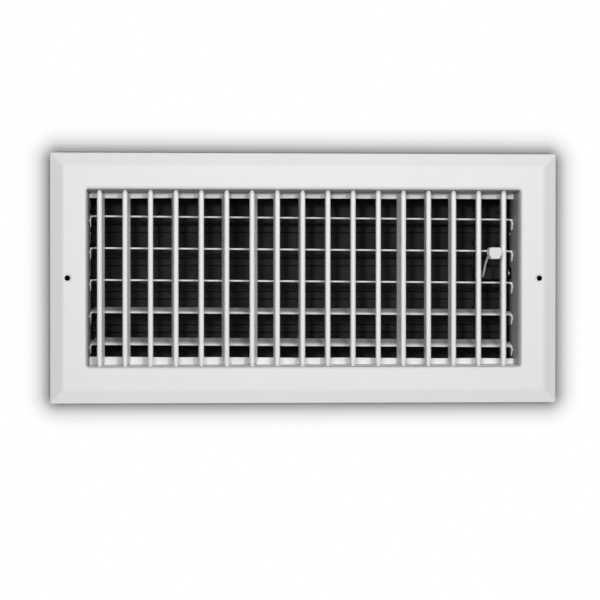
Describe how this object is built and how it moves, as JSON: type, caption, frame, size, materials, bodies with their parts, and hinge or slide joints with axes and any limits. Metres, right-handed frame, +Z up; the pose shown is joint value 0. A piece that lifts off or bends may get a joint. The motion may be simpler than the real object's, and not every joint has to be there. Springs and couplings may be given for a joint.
{
  "type": "sidewall vent register",
  "caption": "White steel sidewall register with a bevelled face, adjustable vertical and horizontal blades, and a lever that works a shutter damper behind them.",
  "frame": {"origin": "centre of the opening, on the wall plane that the flange's rim rests on", "axes": "+Z up, +X to the right seen from the room, +Y into the wall and duct; the face looks along -Y"},
  "size_m": [0.4, 0.0951, 0.1968],
  "materials": {
    "white_paint": "satin white enamel",
    "black_paint": "matt black enamel",
    "white_plastic": "satin moulded",
    "bare_steel": "zinc plated"
  },
  "bodies": {
    "frame": {"bracket_rivet": "bare_steel", "core_bottom_rail": "white_paint", "core_left_plate": "white_paint", "core_right_plate": "white_paint", "core_top_rail": "white_paint", "damper_bottom": "black_paint", "damper_left": "black_paint", "damper_right": "black_paint", "damper_top": "black_paint", "face_frame": "white_paint", "frame_rivet_1": "bare_steel", "frame_rivet_2": "bare_steel", "frame_rivet_3": "bare_steel", "frame_rivet_4": "bare_steel", "lever_bracket": "black_paint", "lever_pivot_rivet": "bare_steel"},
    "front_blade_01": {"front_blade_01": "white_paint"},
    "front_blade_02": {"front_blade_02": "white_paint"},
    "front_blade_03": {"front_blade_03": "white_paint"},
    "front_blade_04": {"front_blade_04": "white_paint"},
    "front_blade_05": {"front_blade_05": "white_paint"},
    "front_blade_06": {"front_blade_06": "white_paint"},
    "front_blade_07": {"front_blade_07": "white_paint"},
    "front_blade_08": {"front_blade_08": "white_paint"},
    "front_blade_09": {"front_blade_09": "white_paint"},
    "front_blade_10": {"front_blade_10": "white_paint"},
    "front_blade_11": {"front_blade_11": "white_paint"},
    "front_blade_12": {"front_blade_12": "white_paint"},
    "front_blade_13": {"front_blade_13": "white_paint"},
    "front_blade_14": {"front_blade_14": "white_paint"},
    "front_blade_15": {"front_blade_15": "white_paint"},
    "front_blade_16": {"front_blade_16": "white_paint"},
    "front_blade_17": {"front_blade_17": "white_paint"},
    "rear_blade_1": {"rear_blade_1": "white_paint"},
    "rear_blade_2": {"rear_blade_2": "white_paint"},
    "rear_blade_3": {"rear_blade_3": "white_paint"},
    "rear_blade_4": {"rear_blade_4": "white_paint"},
    "rear_blade_5": {"rear_blade_5": "white_paint"},
    "lever": {"lever_crank": "black_paint", "lever_wire": "white_paint", "lever_tip": "white_plastic"},
    "damper_blade_1": {"damper_blade_1": "black_paint"},
    "damper_blade_2": {"damper_blade_2": "black_paint"},
    "damper_blade_3": {"damper_blade_3": "black_paint"},
    "damper_blade_4": {"damper_blade_4": "black_paint"},
    "damper_blade_5": {"damper_blade_5": "black_paint"},
    "tie_bar": {"tie_bar": "black_paint"}
  },
  "joints": [
    {"name": "front_pivot_01", "type": "hinge", "parent": "frame", "child": "front_blade_01", "pos_m": [-0.1613, 0.001, 0], "axis": [0, 0, 1], "range_deg": [-30, 38]},
    {"name": "front_pivot_02", "type": "hinge", "parent": "frame", "child": "front_blade_02", "pos_m": [-0.1413, 0.001, 0], "axis": [0, 0, 1], "range_deg": [-28.5, 51.5]},
    {"name": "front_pivot_03", "type": "hinge", "parent": "frame", "child": "front_blade_03", "pos_m": [-0.1213, 0.001, 0], "axis": [0, 0, 1], "range_deg": [-40, 40]},
    {"name": "front_pivot_04", "type": "hinge", "parent": "frame", "child": "front_blade_04", "pos_m": [-0.1013, 0.001, 0], "axis": [0, 0, 1], "range_deg": [-49.5, 30.5]},
    {"name": "front_pivot_05", "type": "hinge", "parent": "frame", "child": "front_blade_05", "pos_m": [-0.0813, 0.001, 0], "axis": [0, 0, 1], "range_deg": [-46, 34]},
    {"name": "front_pivot_06", "type": "hinge", "parent": "frame", "child": "front_blade_06", "pos_m": [-0.0613, 0.001, 0], "axis": [0, 0, 1], "range_deg": [-50, 30]},
    {"name": "front_pivot_07", "type": "hinge", "parent": "frame", "child": "front_blade_07", "pos_m": [-0.0413, 0.001, 0], "axis": [0, 0, 1], "range_deg": [-25, 55]},
    {"name": "front_pivot_08", "type": "hinge", "parent": "frame", "child": "front_blade_08", "pos_m": [-0.0213, 0.001, 0], "axis": [0, 0, 1], "range_deg": [-46, 34]},
    {"name": "front_pivot_09", "type": "hinge", "parent": "frame", "child": "front_blade_09", "pos_m": [-0.0013, 0.001, 0], "axis": [0, 0, 1], "range_deg": [-45.5, 34.5]},
    {"name": "front_pivot_10", "type": "hinge", "parent": "frame", "child": "front_blade_10", "pos_m": [0.0187, 0.001, 0], "axis": [0, 0, 1], "range_deg": [-42, 38]},
    {"name": "front_pivot_11", "type": "hinge", "parent": "frame", "child": "front_blade_11", "pos_m": [0.0387, 0.001, 0], "axis": [0, 0, 1], "range_deg": [-41, 39]},
    {"name": "front_pivot_12", "type": "hinge", "parent": "frame", "child": "front_blade_12", "pos_m": [0.0587, 0.001, 0], "axis": [0, 0, 1], "range_deg": [-37.5, 42.5]},
    {"name": "front_pivot_13", "type": "hinge", "parent": "frame", "child": "front_blade_13", "pos_m": [0.0787, 0.001, 0], "axis": [0, 0, 1], "range_deg": [-49.5, 30.5]},
    {"name": "front_pivot_14", "type": "hinge", "parent": "frame", "child": "front_blade_14", "pos_m": [0.0987, 0.001, 0], "axis": [0, 0, 1], "range_deg": [-42.5, 37.5]},
    {"name": "front_pivot_15", "type": "hinge", "parent": "frame", "child": "front_blade_15", "pos_m": [0.1187, 0.001, 0], "axis": [0, 0, 1], "range_deg": [-44.5, 35.5]},
    {"name": "front_pivot_16", "type": "hinge", "parent": "frame", "child": "front_blade_16", "pos_m": [0.1387, 0.001, 0], "axis": [0, 0, 1], "range_deg": [-18, 42]},
    {"name": "front_pivot_17", "type": "hinge", "parent": "frame", "child": "front_blade_17", "pos_m": [0.1587, 0.001, 0], "axis": [0, 0, 1], "range_deg": [-36.5, 29.5]},
    {"name": "rear_pivot_1", "type": "hinge", "parent": "frame", "child": "rear_blade_1", "pos_m": [0, 0.0236, 0.045], "axis": [1, 0, -0.0066], "range_deg": [-40, 40]},
    {"name": "rear_pivot_2", "type": "hinge", "parent": "frame", "child": "rear_blade_2", "pos_m": [0, 0.0236, 0.0196], "axis": [1, 0, -0.0066], "range_deg": [-40, 40]},
    {"name": "rear_pivot_3", "type": "hinge", "parent": "frame", "child": "rear_blade_3", "pos_m": [0, 0.0236, -0.0058], "axis": [1, 0, -0.0066], "range_deg": [-40, 5]},
    {"name": "rear_pivot_4", "type": "hinge", "parent": "frame", "child": "rear_blade_4", "pos_m": [0, 0.0236, -0.0312], "axis": [1, 0, -0.0066], "range_deg": [-54, 26]},
    {"name": "rear_pivot_5", "type": "hinge", "parent": "frame", "child": "rear_blade_5", "pos_m": [0, 0.0236, -0.0566], "axis": [1, 0, -0.0066], "range_deg": [-58, 22]},
    {"name": "lever_swing", "type": "hinge", "parent": "frame", "child": "lever", "pos_m": [0.147, 0.042, 0.004], "axis": [-1, 0, 0], "range_deg": [0, 20]},
    {"name": "damper_pivot_1", "type": "hinge", "parent": "frame", "child": "damper_blade_1", "pos_m": [0, 0.062, 0.0546], "axis": [1, 0, 0], "range_deg": [0, 80]},
    {"name": "damper_pivot_2", "type": "hinge", "parent": "frame", "child": "damper_blade_2", "pos_m": [0, 0.062, 0.0273], "axis": [1, 0, 0], "range_deg": [0, 80]},
    {"name": "damper_pivot_3", "type": "hinge", "parent": "frame", "child": "damper_blade_3", "pos_m": [0, 0.062, 0], "axis": [1, 0, 0], "range_deg": [0, 80]},
    {"name": "damper_pivot_4", "type": "hinge", "parent": "frame", "child": "damper_blade_4", "pos_m": [0, 0.062, -0.0273], "axis": [1, 0, 0], "range_deg": [0, 80]},
    {"name": "damper_pivot_5", "type": "hinge", "parent": "frame", "child": "damper_blade_5", "pos_m": [0, 0.062, -0.0546], "axis": [1, 0, 0], "range_deg": [0, 80]},
    {"name": "tie_bar_pivot", "type": "hinge", "parent": "damper_blade_3", "child": "tie_bar", "pos_m": [0.1454, 0.05899, 0.00253], "axis": [1, 0, 0], "range_deg": [-80, 0]}
  ],
  "couplings": [
    {"joint": "damper_pivot_1", "follows": "lever_swing", "ratio": 4},
    {"joint": "damper_pivot_2", "follows": "lever_swing", "ratio": 4},
    {"joint": "damper_pivot_3", "follows": "lever_swing", "ratio": 4},
    {"joint": "damper_pivot_4", "follows": "lever_swing", "ratio": 4},
    {"joint": "damper_pivot_5", "follows": "lever_swing", "ratio": 4},
    {"joint": "tie_bar_pivot", "follows": "lever_swing", "ratio": -4}
  ]
}
